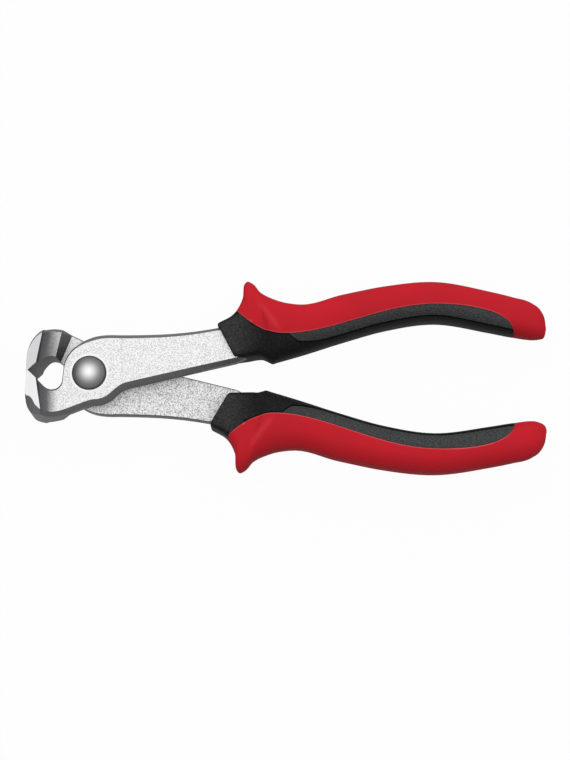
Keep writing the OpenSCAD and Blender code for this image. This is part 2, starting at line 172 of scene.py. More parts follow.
def makeFloor():
    s = studioSet
    material, tree, shader = newMaterial("paleFloor")
    shader.inputs["Base Color"].default_value = s["floorColour"]
    shader.inputs["Roughness"].default_value = 1
    shader.inputs["Specular IOR Level"].default_value = 0
    plain = addNode(tree, "ShaderNodeEmission", {"Color": white, "Strength": 1.0})
    clear = addNode(tree, "ShaderNodeBsdfTransparent")
    share = calc(tree, "MULTIPLY", seenRays(tree), s["backdropShare"])
    front = addNode(tree, "ShaderNodeMixShader", {0: share, 1: shader.outputs[0], 2: plain.outputs[0]})
    side = addNode(tree, "ShaderNodeNewGeometry")
    both = addNode(tree, "ShaderNodeMixShader", {
        0: side.outputs["Backfacing"], 1: front.outputs[0], 2: clear.outputs[0]})
    tree.links.new(both.outputs[0], tree.nodes["Material Output"].inputs["Surface"])
    bm = bmesh.new()
    bmesh.ops.create_grid(bm, x_segments=1, y_segments=1, size=s["floorHalf"])
    floor = meshObject(bm, "floor", material)


makeCamera()
makeDome()
makeFloor()
scene.view_settings.view_transform = "Standard"
print("camera and studio are set")


# Shared finishes, as node groups that give masks and heights
speckleSet = {
    "detail": 2.0,
    "roughness": 0.6,
    "band": (0.34, 0.6),  # of the noise, from a speck to the plain surface
}
grainSet = {
    "detail": 2.0,
    "roughness": 0.55,
    "driftScale": 55.0,
}


def newGroup(name, inputs, outputs):
    group = bpy.data.node_groups.new(name, "ShaderNodeTree")
    for title, kind in inputs.items():
        group.interface.new_socket(title, in_out="INPUT", socket_type="NodeSocket" + kind)
    for title in outputs:
        group.interface.new_socket(title, in_out="OUTPUT", socket_type="NodeSocketFloat")
    return group, group.nodes.new("NodeGroupInput").outputs, group.nodes.new("NodeGroupOutput").inputs


def useGroup(tree, group, values):
    return addNode(tree, "ShaderNodeGroup", values, node_tree=group).outputs


def makeBlastedSpeckle():
    s = speckleSet
    group, given, out = newGroup("blastedSpeckle", {"Place": "Vector", "Scale": "Float"}, ["Speckle"])
    noise = addNode(group, "ShaderNodeTexNoise", {
        "Vector": given["Place"], "Scale": given["Scale"],
        "Detail": s["detail"], "Roughness": s["roughness"]})
    speckle = ranged(group, noise.outputs[0], s["band"], interpolation="SMOOTHSTEP")
    group.links.new(speckle, out["Speckle"])
    return group


def makeAxisFacingMask():
    inputs = {"Facing": "Vector", "Start": "Float", "Full": "Float"}
    group, given, out = newGroup("axisFacingMask", inputs, ["Flat"])
    parts = addNode(group, "ShaderNodeSeparateXYZ", {0: given["Facing"]})
    upright = calc(group, "ABSOLUTE", parts.outputs["Z"])
    flat = ranged(group, upright, (given["Start"], given["Full"]), interpolation="SMOOTHSTEP")
    group.links.new(flat, out["Flat"])
    return group


def makeMouldGrain():
    s = grainSet
    group, given, out = newGroup("mouldGrain", {"Place": "Vector", "Scale": "Float"}, ["Grain", "Drift"])
    grain = addNode(group, "ShaderNodeTexNoise", {
        "Vector": given["Place"], "Scale": given["Scale"],
        "Detail": s["detail"], "Roughness": s["roughness"]})
    drift = addNode(group, "ShaderNodeTexNoise", {
        "Vector": given["Place"], "Scale": s["driftScale"], "Detail": s["detail"]})
    group.links.new(grain.outputs[0], out["Grain"])
    group.links.new(drift.outputs[0], out["Drift"])
    return group


blastedSpeckle = makeBlastedSpeckle()
axisFacingMask = makeAxisFacingMask()
mouldGrain = makeMouldGrain()
print("shared finishes are made")


# Mask of what faces along the rivet's axis, with the band over which it fills
def flatMask(tree, place, band):
    values = {"Facing": place["Normal"], "Start": band[0], "Full": band[1]}
    return useGroup(tree, axisFacingMask, values)["Flat"]


# Value that is written on the points of a moulding
def pointValue(tree, name):
    return addNode(tree, "ShaderNodeAttribute", attribute_name=name).outputs["Fac"]


# Colour, gloss and relief from a material's settings and its grain
def dressShader(tree, shader, s, colour, grain):
    tree.links.new(colour, shader.inputs["Base Color"])
    tree.links.new(ranged(tree, grain, (0.0, 1.0), s["roughness"]), shader.inputs["Roughness"])
    shader.inputs["Metallic"].default_value = s["metallic"]
    shader.inputs["Specular IOR Level"].default_value = s["specular"]
    strength, depth = s["bump"]
    bump = addNode(tree, "ShaderNodeBump", {"Strength": strength, "Distance": depth * mm, "Height": grain})
    tree.links.new(bump.outputs[0], shader.inputs["Normal"])


def finishPiece(bm, name, material, body, node):
    piece = meshObject(bm, name, material)
    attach(piece, body)
    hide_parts(node)
    return piece


# Levers: blasted steel with ground faces, which differ a little between the jaws. Painted shade darkens their
# flanks, walls and the hollows behind the jaws, and painted light brightens the upper jaw's lap face
steelSet = {
    "face": (0.96, 0.96, 0.965, 1),
    "faceSpeck": (0.58, 0.58, 0.59, 1),
    "lap": (0.95, 0.95, 0.96, 1),  # unground faces of the lap joint
    "lapSpeck": (0.36, 0.36, 0.37, 1),
    "lapUpperPaintedLight": white,  # the same on the upper jaw, brightened with painted light against the shade under the boss
    "lapUpperSpeckPaintedLight": (0.72, 0.72, 0.73, 1),
    "blade": (0.84, 0.84, 0.85, 1),  # smoothly ground
    "bladeHigh": (0.66, 0.66, 0.67, 1),
    "flank": (0.115, 0.115, 0.12, 1),  # forged bevels and edges, darkened with painted shade
    "flankSpeck": (0.145, 0.145, 0.15, 1),
    # painted shade, darker than the flanks, on the walls
    "wall": (0.085, 0.085, 0.088, 1),
    "throat": (0.05, 0.05, 0.052, 1),  # walls of the hole between the jaws, darkest painted shade
    "throatReach": (8, 9.5),  # mm from the pivot, least along and most across
    "flare": (-12.9, 2.6),  # mm from the pivot, middle and half length of the hollow behind a jaw
    "hollowShadeLow": (-14.9, -10.2),  # mm from the pivot, over which the painted shade in the hollow lightens to the face on the lower jaw
    # the same for the painted shade in the hollow on the upper jaw
    "hollowShadeHigh": (-15.8, -6.5),
    "lapDepth": (0.6, 1.2),  # mm off the lap plane, over which its finish ends
    "halo": (6.4, 7.2),  # mm, radii over which the bright, unspeckled ring round the rivet head ends
    "jawMeet": 1,  # mm off the middle, over which the finish of one jaw turns into the other's
    "faceFlat": (0.86, 1.0),  # how squarely a surface faces along the rivet's axis, from the flank's painted shade to face
    "hollowFlat": (0.7, 0.86),
    "wallFlat": (0.15, 0.5),  # and from the wall's darker painted shade to the flank's
    "speckScale": 2500.0,
    "roughness": (0.62, 0.48),
    "metallic": 0.35,
    "specular": 0.2,
    "bump": (0.25, 0.05),  # strength, and depth in mm
}


def makeSteel():
    s = steelSet
    material, tree, shader = newMaterial("blastedSteel")
    place = addNode(tree, "ShaderNodeTexCoord").outputs
    speckle = useGroup(tree, blastedSpeckle, {"Place": place["Object"], "Scale": s["speckScale"]})["Speckle"]
    fromPivot = addNode(tree, "ShaderNodeMapping", {"Vector": place["Object"], "Location": -pivot})
    along, across, height = addNode(tree, "ShaderNodeSeparateXYZ", {0: fromPivot.outputs[0]}).outputs
    upper = ranged(tree, across, (-s["jawMeet"] * mm, s["jawMeet"] * mm))

    def inMm(key):
        return [value * mm for value in s[key]]

    # outer faces, bright and unspeckled in a ring round the rivet, and the lap faces
    flatPlace = addNode(tree, "ShaderNodeCombineXYZ", {0: along, 1: across})
    radius = addNode(tree, "ShaderNodeVectorMath", {0: flatPlace.outputs[0]}, operation="LENGTH")
    rivetRing = ranged(tree, radius.outputs["Value"], inMm("halo"), (1.0, 0.0))
    outer = mixColour(tree, calc(tree, "MAXIMUM", speckle, rivetRing), s["faceSpeck"], s["face"])
    # painted light on the upper jaw's lap face, against the shade of its recess under the boss
    lap = mixColour(tree, upper, s["lap"], s["lapUpperPaintedLight"])
    lapSpeck = mixColour(tree, upper, s["lapSpeck"], s["lapUpperSpeckPaintedLight"])
    inner = mixColour(tree, speckle, lapSpeck, lap)
    lapped = ranged(tree, calc(tree, "ABSOLUTE", height), inMm("lapDepth"), (1.0, 0.0))
    worked = mixColour(tree, lapped, outer, inner)

    # blades, ahead of the hollow
    flareMiddle, flareHalf = inMm("flare")
    inFlare = calc(tree, "COMPARE", along, flareMiddle, flareHalf)
    ahead = calc(tree, "LESS_THAN", along, flareMiddle - flareHalf)
    face = mixColour(tree, ahead, worked, mixColour(tree, upper, s["blade"], s["bladeHigh"]))
    # painted shade across the hollow behind each jaw, lightening towards the face
    hollowShades = [ranged(tree, along, inMm(key), interpolation="SMOOTHSTEP") for key in ("hollowShadeLow", "hollowShadeHigh")]
    fade = calc(tree, "MAXIMUM", mixValue(tree, upper, *hollowShades), ahead)
    flats = [flatMask(tree, place, s[key]) for key in ("faceFlat", "hollowFlat")]
    shown = calc(tree, "MULTIPLY", mixValue(tree, inFlare, *flats), fade)

    # flanks and walls, darkened with painted shade by how far they turn from the rivet's axis, darkest in the
    # throat
    reachAlong, reachAcross = inMm("throatReach")
    inHead = calc(tree, "LESS_THAN", along, -reachAlong)
    inThroat = calc(tree, "MULTIPLY", inHead, calc(tree, "COMPARE", across, 0.0, reachAcross))
    # painted shade: the walls darker than the flanks, and the throat's walls darkest
    wall = mixColour(tree, inThroat, s["wall"], s["throat"])
    speckledFlankShade = mixColour(tree, speckle, s["flank"], s["flankSpeck"])
    flank = mixColour(tree, flatMask(tree, place, s["wallFlat"]), wall, speckledFlankShade)
    dressShader(tree, shader, s, mixColour(tree, shown, flank, face), speckle)
    return material


# Their shape: the forged solids with their facets merged, smooth along the curves and crisp at the bevels
leverSet = {
    "flatWithin": 0.3,  # degrees between facets that are one face
    "crispFrom": 24,  # degrees between faces
    "broken": 0.3,  # mm, crisp edges are broken this far
    "tuck": 1.3,  # mm, how far the tang's finger edge is drawn in under the collar
    "tuckAlong": (50.5, 55),  # mm from the pivot, over which it is
    "tuckBelow": 10,  # mm across, the tang's middle there
}


def makeLever(node, body, side):
    s = leverSet
    bm = bmesh.new()
    bm.from_mesh(nodes[node].data)
    bmesh.ops.remove_doubles(bm, verts=bm.verts[:], dist=mergeWithin)
    start, full = (x * mm for x in s["tuckAlong"])
    bmesh.ops.bisect_plane(bm, geom=bm.verts[:] + bm.edges[:] + bm.faces[:], dist=mergeWithin,
                           plane_co=pivot + Vector((start, 0, 0)), plane_no=(1, 0, 0))
    for vert in bm.verts:
        along, across = vert.co.x - pivot.x, (vert.co.y - pivot.y) * side
        if along > start and across < s["tuckBelow"] * mm:
            vert.co.y += side * s["tuck"] * mm * min(1, (along - start) / (full - start))
    bmesh.ops.dissolve_limit(bm, angle_limit=math.radians(s["flatWithin"]),
                             verts=bm.verts[:], edges=bm.edges[:])
    limit = math.radians(s["crispFrom"])
    crisp = [edge for edge in bm.edges if edge.is_manifold and edge.calc_face_angle(0) > limit]
    bmesh.ops.bevel(bm, geom=crisp, offset=s["broken"] * mm, offset_type="OFFSET", segments=1, profile=0.5,
                    affect="EDGES", clamp_overlap=True, material=-1)
    for face in bm.faces:
        face.smooth = True
    for edge in bm.edges:
        edge.smooth = edge.is_manifold and edge.calc_face_angle(0) < limit
    piece = finishPiece(bm, node.replace("_", "-") + "-forging", steel, body, node)
    weighted = piece.modifiers.new("weighted", "WEIGHTED_NORMAL")
    weighted.keep_sharp = True


steel = makeSteel()
makeLever("front_lever", "front_half", 1)
makeLever("back_lever", "back_half", -1)
print("levers are made")


# Rivet: one profile with a rounded cap at both ends, turned about the pivot
rivetSet = {
    "shank": 3.5,  # mm radius
    "head": 5.95,
    "rise": 3.0,  # height of a head
    "seat": 6.52,  # lap plane to the underside of a head
    "edge": 0.12,  # height of the rim under the dome
    "domeIn": 0.06,  # how far inside the rim the dome ends
    "capSteps": 12,
    "turns": 72,
    "crispFrom": 40,  # degrees between faces
    "gap": (0.02, 0.02, 0.02, 1),  # shade at the very rim
    # painted shade on the sloping rim of the dome
    "rim": (0.14, 0.14, 0.142, 1),
    # painted highlight on the top of the dome
    "crown": white,
    "highlightGather": 12.5,  # how closely the painted highlight gathers at the middle of the dome
    "domed": (0.62, 0.73),  # how squarely the surface faces along the axis, from the gap to the dome
    "speckScale": 2600.0,
    "roughness": (0.42, 0.34),
    "metallic": 0.35,
    "specular": 0.2,
    "bump": (0.08, 0.03),  # strength, and depth in mm
}


def makeRivetSteel():
    s = rivetSet
    material, tree, shader = newMaterial("rivetSteel")
    place = addNode(tree, "ShaderNodeTexCoord").outputs
    speckle = useGroup(tree, blastedSpeckle, {"Place": place["Object"], "Scale": s["speckScale"]})["Speckle"]
    facing = addNode(tree, "ShaderNodeSeparateXYZ", {0: place["Normal"]})
    # painted highlight on the top of the dome, turning to painted shade towards its rim
    crown = calc(tree, "POWER", calc(tree, "ABSOLUTE", facing.outputs["Z"]), s["highlightGather"])
    paintedDomeLight = mixColour(tree, crown, s["rim"], s["crown"])
    colour = mixColour(tree, flatMask(tree, place, s["domed"]), s["gap"], paintedDomeLight)
    dressShader(tree, shader, s, colour, speckle)
    return material


def makeRivet():
    s = rivetSet
    steps = s["capSteps"]
    dome = (s["head"] ** 2 + s["rise"] ** 2) / (2 * s["rise"])
    reach = math.asin((s["head"] - s["domeIn"]) / dome)
    turns = [reach * i / steps for i in range(steps + 1)]
    cap = [(dome * math.sin(a), s["seat"] + s["rise"] - dome * (1 - math.cos(a))) for a in turns]
    rim = [(s["head"], s["seat"] + s["edge"]), (s["head"], s["seat"]), (s["shank"], s["seat"])]
    half = cap + rim
    profile = half + [(r, -z) for r, z in reversed(half)]
    bm = bmesh.new()
    verts = [bm.verts.new(pivot + Vector((r, 0, z)) * mm) for r, z in profile]
    edges = [bm.edges.new(pair) for pair in zip(verts, verts[1:])]
    bmesh.ops.spin(bm, geom=verts + edges, cent=pivot, axis=(0, 0, 1), angle=math.tau, steps=s["turns"],
                   use_merge=True)
    bmesh.ops.remove_doubles(bm, verts=bm.verts[:], dist=mergeWithin)
    bmesh.ops.recalc_face_normals(bm, faces=bm.faces[:])
    for face in bm.faces:
        face.smooth = True
    for edge in bm.edges:
        edge.smooth = edge.calc_face_angle(0) < math.radians(s["crispFrom"])
    finishPiece(bm, "pivot-rivet-domed", makeRivetSteel(), "front_half", "pivot_rivet")


makeRivet()
print("rivet is made")


# Grips: three moulded materials
redSet = {
    "colour": (0.54, 0.0165, 0.0265, 1),
    "deep": (0.48, 0.017, 0.026, 1),
    "rim": (0.62, 0.1, 0.11, 1),  # painted highlight along the split
    # painted highlight along the crease where the guard runs out
    "creaseHighlight": (0.56, 0.029, 0.039, 1),
    "edge": (0.34, 0.022, 0.028, 1),  # painted shade where the surface turns to the side
    "edgeShadeFlat": (0.1, 0.44),  # how squarely it faces along the rivet's axis, from the painted edge shade to plain
    "drift": (0.3, 0.7),  # of the slow noise, from deep to plain
    "scale": 1100.0,
    "roughness": (0.62, 0.55),
    "metallic": 0,
    "specular": 0.012,
    "bump": (0.12, 0.06),  # strength, and depth in mm
}


def makeRedPlastic():
    s = redSet
    material, tree, shader = newMaterial("redPlastic")
    place = addNode(tree, "ShaderNodeTexCoord").outputs
    mould = useGroup(tree, mouldGrain, {"Place": place["Object"], "Scale": s["scale"]})
    plain = mixColour(tree, ranged(tree, mould["Drift"], s["drift"]), s["deep"], s["colour"])
    # painted highlight along the guard's crease
    creaseHighlighted = mixColour(tree, pointValue(tree, "creaseHighlight"), plain, s["creaseHighlight"])
    # painted highlight along the split, where the red's edge rounds over
    splitHighlighted = mixColour(tree, pointValue(tree, "rim"), creaseHighlighted, s["rim"])
    # painted shade where the surface turns away from the rivet's axis
    colour = mixColour(tree, flatMask(tree, place, s["edgeShadeFlat"]), s["edge"], splitHighlighted)
    dressShader(tree, shader, s, colour, mould["Grain"])
    return material


blackSet = {
    "colour": (0.0125, 0.0127, 0.013, 1),
    "dust": (0.025, 0.0255, 0.026, 1),
    "dusty": (0.5, 0.75),  # of the grain, from plain to dust
    "rim": (0.003, 0.003, 0.003, 1),  # painted shade along its edges, where it meets the other mouldings
    "collar": (0.025, 0.025, 0.025, 1),
    "collarDust": (0.052, 0.052, 0.052, 1),
    "collarDusty": (0.35, 0.7),
    "collarFlat": (0.6, 0.97),  # how squarely it faces along the rivet's axis, from plain to collar
    "scale": 1400.0,
    "roughness": (0.62, 0.5),
    "metallic": 0,
    "specular": 0.02,
    "bump": (0.2, 0.08),  # strength, and depth in mm
}


def makeBlackRubber():
    s = blackSet
    material, tree, shader = newMaterial("blackRubber")
    place = addNode(tree, "ShaderNodeTexCoord").outputs
    grain = useGroup(tree, mouldGrain, {"Place": place["Object"], "Scale": s["scale"]})["Grain"]
    plain = mixColour(tree, ranged(tree, grain, s["dusty"]), s["colour"], s["dust"])
    # paler on the collar's faces that face along the rivet's axis
    paleCollar = mixColour(tree, ranged(tree, grain, s["collarDusty"]), s["collar"], s["collarDust"])
    onCollar = calc(tree, "MULTIPLY", pointValue(tree, "collar"), flatMask(tree, place, s["collarFlat"]))
    faced = mixColour(tree, onCollar, plain, paleCollar)
    # painted shade along the edges
    dressShader(tree, shader, s, mixColour(tree, pointValue(tree, "rim"), faced, s["rim"]), grain)
    return material


padSet = {
    "pit": (0.034, 0.035, 0.036, 1),
    "land": (0.076, 0.077, 0.079, 1),
    "stipple": (0.35, 0.65),  # of the grain, from pit to land
    "dull": (66, 84),  # mm from the pivot, over which the front of a pad brightens
    "dullShare": 0.35,
    "scale": 2000.0,
    "roughness": (0.8, 0.62),
    "metallic": 0,
    "specular": 0.02,
    "bump": (0.5, 0.15),  # strength, and depth in mm
}


def makePadRubber():
    s = padSet
    material, tree, shader = newMaterial("padRubber")
    place = addNode(tree, "ShaderNodeTexCoord").outputs
    grain = useGroup(tree, mouldGrain, {"Place": place["Object"], "Scale": s["scale"]})["Grain"]
    stipple = ranged(tree, grain, s["stipple"])
    parts = addNode(tree, "ShaderNodeSeparateXYZ", {0: place["Object"]})
    bright = ranged(tree, parts.outputs["X"], [pivot.x + x * mm for x in s["dull"]], (s["dullShare"], 1.0))
    land = calc(tree, "MULTIPLY", stipple, bright)
    dressShader(tree, shader, s, mixColour(tree, land, s["pit"], s["land"]), stipple)
    return material


redPlastic = makeRedPlastic()
blackRubber = makeBlackRubber()
padRubber = makePadRubber()
print("grip materials are made")


# Outline points are (along, across) from the pivot in mm, close to those of the solids
gripOutline = {
    "collarTop": (42.5, 17.8), "collarFoot": (49, 5.9),
    "guardRoot": (48.1, 21.2), "guardFront": (51.2, 27), "guardTip": (53, 33.4), "guardBack": (57.3, 29.5),
    "fingerNotch": (57.4, 6.2), "fingerCorner": (61.6, 4.8),
    "palmDip": (69.9, 25.3), "palmCrown": (118.4, 33.4), "fingerArch": (118.4, 19.4),
    "splitStart": (48.9, 22), "splitLow": (65.5, 13.7), "splitCrest": (119.5, 25), "splitEnd": (145.9, 14.6),
}
creaseLine = ((55.6, 25.8), (58, 23.1), (60.2, 20.4), (62.3, 17.8), (64.6, 15.5))  # the guard runs out, and a painted highlight is laid along it
gripSet = {
    "fingerSlope": 0.305,  # rise of the finger edge behind its corner
    "end": 157, "endRise": 17.8, "endUp": 9.4, "endDown": 3.5,  # how far the tail reaches
    "endRound": (7, 5.6), "endTurns": (18, 40, 62, 90),  # its rounding, mm on both sides and rows in degrees
    "endTip": 0.8, "endHalf": 2,  # half height and half thickness of its last row
    "endStep": 0.6,  # how much thinner than the tail the rounding starts
    "endSquare": 0.7,  # power of the finger corner's curve, less is squarer
    "collarHalf": 7.9, "palmHalf": 10.5, "tailHalf": 8.2,  # half thicknesses
    "boxy": 7, "soft": 2.6,  # roundness of the sections
    "lead": 1,  # how far the front of the upper grip sits back, and that of the lower one forward
    "splitLead": 0.5,  # and the start of its split
    "splitSink": 0.8,  # how far the split lies lower in the picture on both grips
    "endSink": 0.45,  # and the tails
    "footSink": 0.4,  # and the feet of the collars
    "notchSkew": 0.4,  # how much deeper the upper grip's notch is, and how much flatter the lower one's
    "endSkew": 0.35,  # how much squarer the upper tail's finger corner is, and how much rounder the lower's
    "inset": 0.03,  # keeps the smooth skin inside the solids' box
    "wall": 1.9, "collarWall": 1.25,
    "wallMost": 0.6,  # of the smaller half of a section
    "groove": 0.32,  # rounding of the mouldings where they meet
    "grooveSteps": (0, 0.08, 0.25, 0.55, 1, 1.7),  # of it, where the points beside an edge lie
    "fade": 0.25,  # radians over which a groove fades where a strip closes
    "lip": 0.7,  # rounding of the collar's mouth
    "rim": (0.12, 0.5),  # mm, from the painted line along an edge (highlight on the red, shade on the black) to the plain surface
    # mm, how far the crease's painted highlight spreads
    "creaseHighlightSoft": 1.7,
    "collarFace": (47, 60),  # over which the pale face of the collar fades
    "padSunk": 0.22,
    "padBorder": 1.25,  # plain strip between a pad and the finger edge
    "padFrom": (7.45, 8.8),  # rows over which a pad's front edge crosses the flank
    "padSweep": 1.7,  # power of that edge's curve
    "padLeast": 0.004,  # share of a row below which a pad ends
    "across": {"core": 40, "skin": 44, "pad": 16},  # plain steps across a strip
    "rowSteps": 9,  # from one row to the next
    "guardRows": (1, 4.5, 40),  # finer ones along the guard: from, to, steps
    "endRows": (-0.3, 0.1, 60),  # and about the end of the split
    "mouthRows": (0.012, 0.03, 0.055),  # and at the collar's mouth
    "rowApart": 0.01,  # least step at the ends of a strip
    "leastGap": 0.2,  # mm, least way that is taken between two rows
    "settle": (-1.5, -0.3),  # rows before the split's end, over which the core's points come to rest
    "ringSteps": 64,  # round a section, to measure it
    "splitHandles": (0.26, 0.59, 0.315, 0.63, 0.5, 0.77),  # shares of its three parts, where they are bent
    "splitSteps": 40,  # in each of those
    "scan": 200,  # places from one row to the next where the split is looked up
    "halvings": 12,  # to close in on its end
}


def curve(a, b, c, d, t):
    return a * (1 - t) ** 3 + b * 3 * (1 - t) ** 2 * t + c * 3 * (1 - t) * t * t + d * t ** 3


def ramp(a, b, t):
    t = min(1, max(0, (t - a) / (b - a)))
    return t * t * (3 - 2 * t)


def swell(value, power):
    return math.copysign(abs(value) ** power, value)


def rounded(distance, radius):
    if distance >= radius:
        return 0
    return radius - math.sqrt(max(0, radius ** 2 - (radius - distance) ** 2))


def led(x, lead):
    dip, crown = gripOutline["palmDip"][0], gripOutline["palmCrown"][0]
    return x + lead * min(1, max(0, (crown - x) / (crown - dip)))


# Rows along a grip: palm point, finger point, half thickness and roundness. Those between the named
# points lie at a share of the way, lifted by some mm
def gripRows(lead):
    g = gripSet
    at = {key: Vector(point) for key, point in gripOutline.items()}
    dip, crown, arch, corner = (at[key] for key in ("palmDip", "palmCrown", "fingerArch", "fingerCorner"))
    foot = at["collarFoot"] - Vector((0, g["footSink"] * lead))
    notch = at["fingerNotch"] + Vector((0, g["notchSkew"] * lead))
    rise = g["endRise"] - g["endSink"] * lead
    square = g["endSquare"] - g["endSkew"] * lead
    tailPalm = Vector((g["end"] - g["endRound"][0], rise + g["endUp"]))
    tailFinger = Vector((g["end"] - g["endRound"][1], rise - g["endDown"]))
    collarHalf, palmHalf, tailHalf, soft = (g[key] for key in ("collarHalf", "palmHalf", "tailHalf", "soft"))
    guardHalf = (collarHalf + palmHalf) / 2

    def between(a, b, t, lift=0):
        return a.lerp(b, t) + Vector((0, lift))

    def behind(d):
        return corner + Vector((d, d * g["fingerSlope"]))

    def tail(t):
        return palmHalf + (tailHalf - palmHalf) * t

    table = [
        (at["collarTop"], foot, collarHalf, g["boxy"]),
        (at["guardRoot"], between(foot, notch, 0.5), collarHalf + (guardHalf - collarHalf) * 0.3, 5.5),
        (at["guardFront"], notch, guardHalf, 4),
        (between(at["guardFront"], at["guardTip"], 0.8, 0.4) - Vector((0.75, 0)),
         between(notch, corner, 0.5, 0.2), guardHalf, 3),
        (at["guardTip"], between(notch, corner, 0.85), guardHalf, soft),
        (between(at["guardTip"], at["guardBack"], 0.36, 0.65), corner, guardHalf, soft),
        (at["guardBack"], behind(2), palmHalf, soft),
        (between(at["guardBack"], dip, 0.45, -0.9), behind(4.6), palmHalf, soft),
        (dip, behind(9.4), palmHalf, soft),
        (between(dip, crown, 0.34, 0.8), between(corner, arch, 0.45, 1.5), palmHalf, soft),
        (between(dip, crown, 0.65, 1.3), between(corner, arch, 0.7, 1.9), palmHalf, soft),
        (crown, arch, palmHalf, soft),
        (between(crown, tailPalm, 0.58, 0.9), between(arch, tailFinger, 0.58, 0.2), tail(0.6), soft),
        (between(crown, tailPalm, 0.85, 0.7), between(arch, tailFinger, 0.82), tail(0.9), soft),
    ]
    tip, endHalf = g["endTip"], g["endHalf"]
    for degrees in g["endTurns"]:
        a = math.radians(degrees)
        palmX, fingerX = (g["end"] - r * (1 - math.sin(a)) for r in g["endRound"])
        up = tip + (g["endUp"] - tip) * math.cos(a)
        down = tip + (g["endDown"] - tip) * math.cos(a) ** square
        half = endHalf + (tailHalf - g["endStep"] - endHalf) * math.cos(a)
        table.append((Vector((palmX, rise + up)), Vector((fingerX, rise - down)), half, soft))
    return [Vector((led(palm.x, lead), palm.y, led(finger.x, lead), finger.y, half, roundness))
            for palm, finger, half, roundness in table]


def rowGap(rows, i):
    return max(gripSet["leastGap"], (Vector(rows[i + 1][:4]) - Vector(rows[i][:4])).length)


def rowSlope(rows, i):
    last = len(rows) - 1
    if i == 0:
        return (rows[1] - rows[0]) / rowGap(rows, 0)
    if i == last:
        return (rows[last] - rows[last - 1]) / rowGap(rows, last - 1)
    before, after = rowGap(rows, i - 1), rowGap(rows, i)
    slopeBefore, slopeAfter = (rows[i] - rows[i - 1]) / before, (rows[i + 1] - rows[i]) / after
    return (slopeAfter * before + slopeBefore * after) / (before + after)


def smoothRow(rows, s):
    i = min(int(s), len(rows) - 2)
    gap = rowGap(rows, i)
    a, d = rows[i], rows[i + 1]
    return curve(a, a + rowSlope(rows, i) * gap / 3, d - rowSlope(rows, i + 1) * gap / 3, d, s - i)


def rowMiddle(row):
    return (Vector(row[0:2]) + Vector(row[2:4])) / 2


def rowWidth(row):
    return (Vector(row[0:2]) - Vector(row[2:4])).length


# Point of a row's section at an angle from the palm, some mm under the surface
def ringPoint(row, angle, depth):
    half = (Vector(row[0:2]) - Vector(row[2:4])) / 2
    u, v = swell(math.cos(angle), 2 / row[5]), swell(math.sin(angle), 2 / row[5])
    place = rowMiddle(row) + half * (1 - depth / half.length) * u
    return Vector((place.x, place.y, (row[4] - depth) * v))


# The split between the colours as points along the grip, and where a row meets it
def splitPoints(lead):
    start, low, crest, end = (Vector(gripOutline["split" + key]) for key in ("Start", "Low", "Crest", "End"))
    start.x += gripSet["splitLead"] * lead
    h = gripSet["splitHandles"]
    pieces = [
        (start, start.lerp(low, h[0]) + Vector((0, h[0] * (low.y - start.y))),
         Vector((start.lerp(low, h[1]).x, low.y)), low),
        (low, Vector((low.lerp(crest, h[2]).x, low.y)), Vector((low.lerp(crest, h[3]).x, crest.y)), crest),
        (crest, Vector((crest.lerp(end, h[4]).x, crest.y)), Vector((end.x, end.lerp(crest, h[5]).y)), end),
    ]
    steps = gripSet["splitSteps"]
    points = [start + Vector((-1, 1)), start]  # it runs on past the guard
    points += [curve(*piece, i / steps) for piece in pieces for i in range(1, steps + 1)]
    sink = gripSet["splitSink"] * lead
    return [Vector((led(p.x, lead), p.y - sink * ramp(start.x, crest.x, p.x))) for p in points]


# Share of a row from its finger point to the split, past either end of the row where they don't meet
def splitShare(row, points):
    palm, finger = Vector(row[0:2]), Vector(row[2:4])
    across = palm - finger
    sides = [across.cross(p - finger) for p in points]
    for p, q, a, b in zip(points, points[1:], sides, sides[1:]):
        if a * b <= 0 and a != b:
            return (p.lerp(q, a / (a - b)) - finger).dot(across) / across.length_squared
    return 1.3 if sides[0] < 0 else -0.3


def padShare(row, split, s):
    start, full = gripSet["padFrom"]
    if s <= start:
        return split
    border = gripSet["padBorder"] / rowWidth(row)
    ahead = 1 - min(1, (s - start) / (full - start))
    return min(split, border + (split - border) * ahead ** gripSet["padSweep"])


def shareAngle(row, share):
    u = min(1, max(-1, 2 * share - 1))
    return math.acos(swell(u, row[5] / 2))


# Share of the crease's painted highlight at a point
def creaseHighlightShare(x, y):
    place = Vector((x, y))
    points = [Vector(p) for p in creaseLine]
    near = []
    for a, b in zip(points, points[1:]):
        t = min(1, max(0, (place - a).dot(b - a) / (b - a).length_squared))
        near.append((place - a.lerp(b, t)).length)
    ends = ramp(points[0].x, points[1].x, x) * (1 - ramp(points[-2].x, points[-1].x + 1, x))
    return (1 - ramp(0, gripSet["creaseHighlightSoft"], min(near))) * ends


def arcLengths(row, low, high):
    steps = gripSet["ringSteps"]
    angles = [low + (high - low) * k / steps for k in range(steps + 1)]
    points = [ringPoint(row, a, 0) for a in angles]
    lengths = [0]
    for p, q in zip(points, points[1:]):
        lengths.append(lengths[-1] + (q - p).length)
    return angles, lengths


def angleAt(angles, lengths, d):
    k = 0
    while k < len(angles) - 2 and lengths[k + 1] < d:
        k += 1
    span = lengths[k + 1] - lengths[k]
    share = (d - lengths[k]) / span if span > 1e-9 else 0
    return angles[k] + (angles[k + 1] - angles[k]) * share


